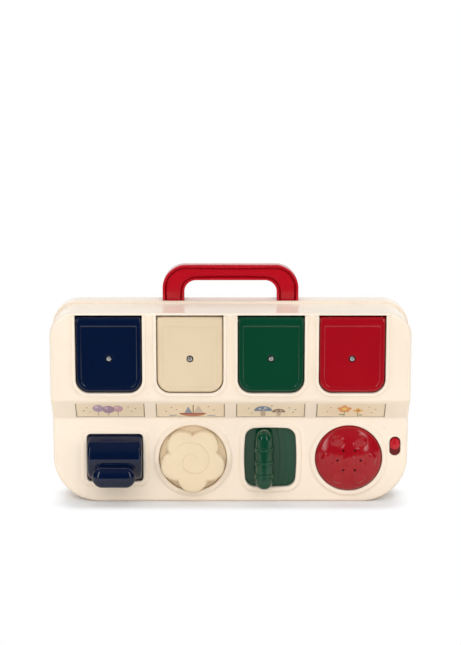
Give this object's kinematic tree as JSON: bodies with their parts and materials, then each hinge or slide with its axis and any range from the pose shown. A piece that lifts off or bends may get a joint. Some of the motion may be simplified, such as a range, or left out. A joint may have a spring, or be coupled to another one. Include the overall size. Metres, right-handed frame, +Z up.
{
  "type": "pop-up toy",
  "caption": "Stepped toy case with a carrying handle: lever, knob, slider and push button each let a hinged door spring up with a figure behind it.",
  "frame": {"origin": "under the middle of the width on the flat base, below the lower deck's body", "axes": "+X to the right seen from the front, +Y to the back, +Z up; the doors and controls face -Y"},
  "size_m": [0.3144, 0.0895, 0.2042],
  "materials": {
    "cream_shell": "glossy moulded cream",
    "cream_trim": "glossy moulded beige",
    "navy": "glossy moulded navy blue",
    "green": "glossy moulded bottle green",
    "red": "glossy moulded red",
    "inner_plastic": "plain moulded inner piece",
    "picture_print": "printed card under a clear film",
    "steel": "plated steel",
    "spring_wire": "bright spring wire",
    "board": "green circuit board",
    "speaker_black": "black speaker frame",
    "cell_wrap": "plain dark battery wrap",
    "figure_bear": "soft satin brown",
    "figure_rabbit": "soft satin white",
    "figure_elephant": "soft satin grey",
    "figure_cat": "soft satin orange"
  },
  "bodies": {
    "case": {"battery_cells": "cell_wrap", "battery_contacts": "spring_wire", "battery_cover": "cream_shell", "board_screws": "steel", "button_spring": "spring_wire", "case_screws": "steel", "circuit_board": "board", "cover_screw": "steel", "door_springs": "spring_wire", "front_shell": "cream_shell", "handle": "red", "hinge_pins": "steel", "latch_spring_blue": "spring_wire", "latch_spring_cream": "spring_wire", "latch_spring_green": "spring_wire", "latch_spring_red": "spring_wire", "lever_axle": "steel", "mechanism_plate": "inner_plastic", "picture_panel_blue": "picture_print", "picture_panel_cream": "picture_print", "picture_panel_green": "picture_print", "picture_panel_red": "picture_print", "plate_screws": "steel", "rear_shell": "cream_shell", "speaker": "speaker_black", "switch_body": "speaker_black", "well_cup_blue": "cream_shell", "well_cup_cream": "cream_shell", "well_cup_green": "cream_shell", "well_cup_red": "cream_shell"},
    "lever": {"lever": "navy"},
    "knob": {"flower_knob": "cream_trim", "knob_crank": "inner_plastic", "knob_screw": "steel"},
    "slider": {"slide_carriage": "green", "slide_grip": "green"},
    "button": {"button_cap": "red"},
    "power_switch": {"switch_knob": "red"},
    "blue_door": {"door_blue": "navy", "door_screw_blue": "steel", "figure_bear": "figure_bear"},
    "blue_latch": {"latch_blue": "inner_plastic"},
    "cream_door": {"door_cream": "cream_trim", "door_screw_cream": "steel", "figure_rabbit": "figure_rabbit"},
    "cream_latch": {"latch_cream": "inner_plastic"},
    "green_door": {"door_green": "green", "door_screw_green": "steel", "figure_elephant": "figure_elephant"},
    "green_latch": {"latch_green": "inner_plastic"},
    "red_door": {"door_red": "red", "door_screw_red": "steel", "figure_cat": "figure_cat"},
    "red_latch": {"latch_red": "inner_plastic"}
  },
  "joints": [
    {"name": "blue_door_hinge", "type": "hinge", "parent": "case", "child": "blue_door", "pos_m": [-0.10425, -0.0424, 0.1642], "axis": [-1, 0, 0], "range_deg": [0, 90]},
    {"name": "cream_door_hinge", "type": "hinge", "parent": "case", "child": "cream_door", "pos_m": [-0.03475, -0.0424, 0.1642], "axis": [-1, 0, 0], "range_deg": [0, 90]},
    {"name": "green_door_hinge", "type": "hinge", "parent": "case", "child": "green_door", "pos_m": [0.03475, -0.0424, 0.1642], "axis": [-1, 0, 0], "range_deg": [0, 90]},
    {"name": "red_door_hinge", "type": "hinge", "parent": "case", "child": "red_door", "pos_m": [0.10425, -0.0424, 0.1642], "axis": [-1, 0, 0], "range_deg": [0, 90]},
    {"name": "lever_lift", "type": "hinge", "parent": "case", "child": "lever", "pos_m": [-0.1009, -0.023, 0.04035], "axis": [-1, 0, 0], "range_deg": [0, 40], "stiffness_Nm_per_rad": 0.03, "springref_deg": -11.46},
    {"name": "knob_turn", "type": "hinge", "parent": "case", "child": "knob", "pos_m": [-0.0329, -0.031, 0.0398], "axis": [0, 1, 0], "range_deg": [0, 60], "stiffness_Nm_per_rad": 0.02, "springref_deg": -11.46},
    {"name": "slider_slide", "type": "slide", "parent": "case", "child": "slider", "axis": [1, 0, 0], "range_m": [0, 0.01099], "stiffness_N_per_m": 80, "springref_m": -0.003},
    {"name": "button_push", "type": "slide", "parent": "case", "child": "button", "axis": [0, 1, 0], "range_m": [0, 0.0045], "stiffness_N_per_m": 250, "springref_m": -0.003, "deforming": ["button_spring"]},
    {"name": "power_switch_slide", "type": "slide", "parent": "case", "child": "power_switch", "axis": [0, 0, -1], "range_m": [0, 0.0046]},
    {"name": "blue_latch_slide", "type": "slide", "parent": "case", "child": "blue_latch", "axis": [0, 0, -1], "range_m": [0, 0.00548], "deforming": ["latch_spring_blue"]},
    {"name": "cream_latch_slide", "type": "slide", "parent": "case", "child": "cream_latch", "axis": [0, 0, -1], "range_m": [0, 0.00501], "deforming": ["latch_spring_cream"]},
    {"name": "green_latch_slide", "type": "slide", "parent": "case", "child": "green_latch", "axis": [0, 0, -1], "range_m": [0, 0.00461], "deforming": ["latch_spring_green"]},
    {"name": "red_latch_slide", "type": "slide", "parent": "case", "child": "red_latch", "axis": [0, 0, -1], "range_m": [0, 0.00451], "deforming": ["latch_spring_red"]}
  ],
  "couplings": [
    {"joint": "blue_latch_slide", "follows": "lever_lift", "m_per_rad": 0.0078385},
    {"joint": "cream_latch_slide", "follows": "knob_turn", "m_per_rad": 0.0047747},
    {"joint": "green_latch_slide", "follows": "slider_slide", "ratio": 0.41847},
    {"joint": "red_latch_slide", "follows": "button_push", "ratio": 1}
  ]
}
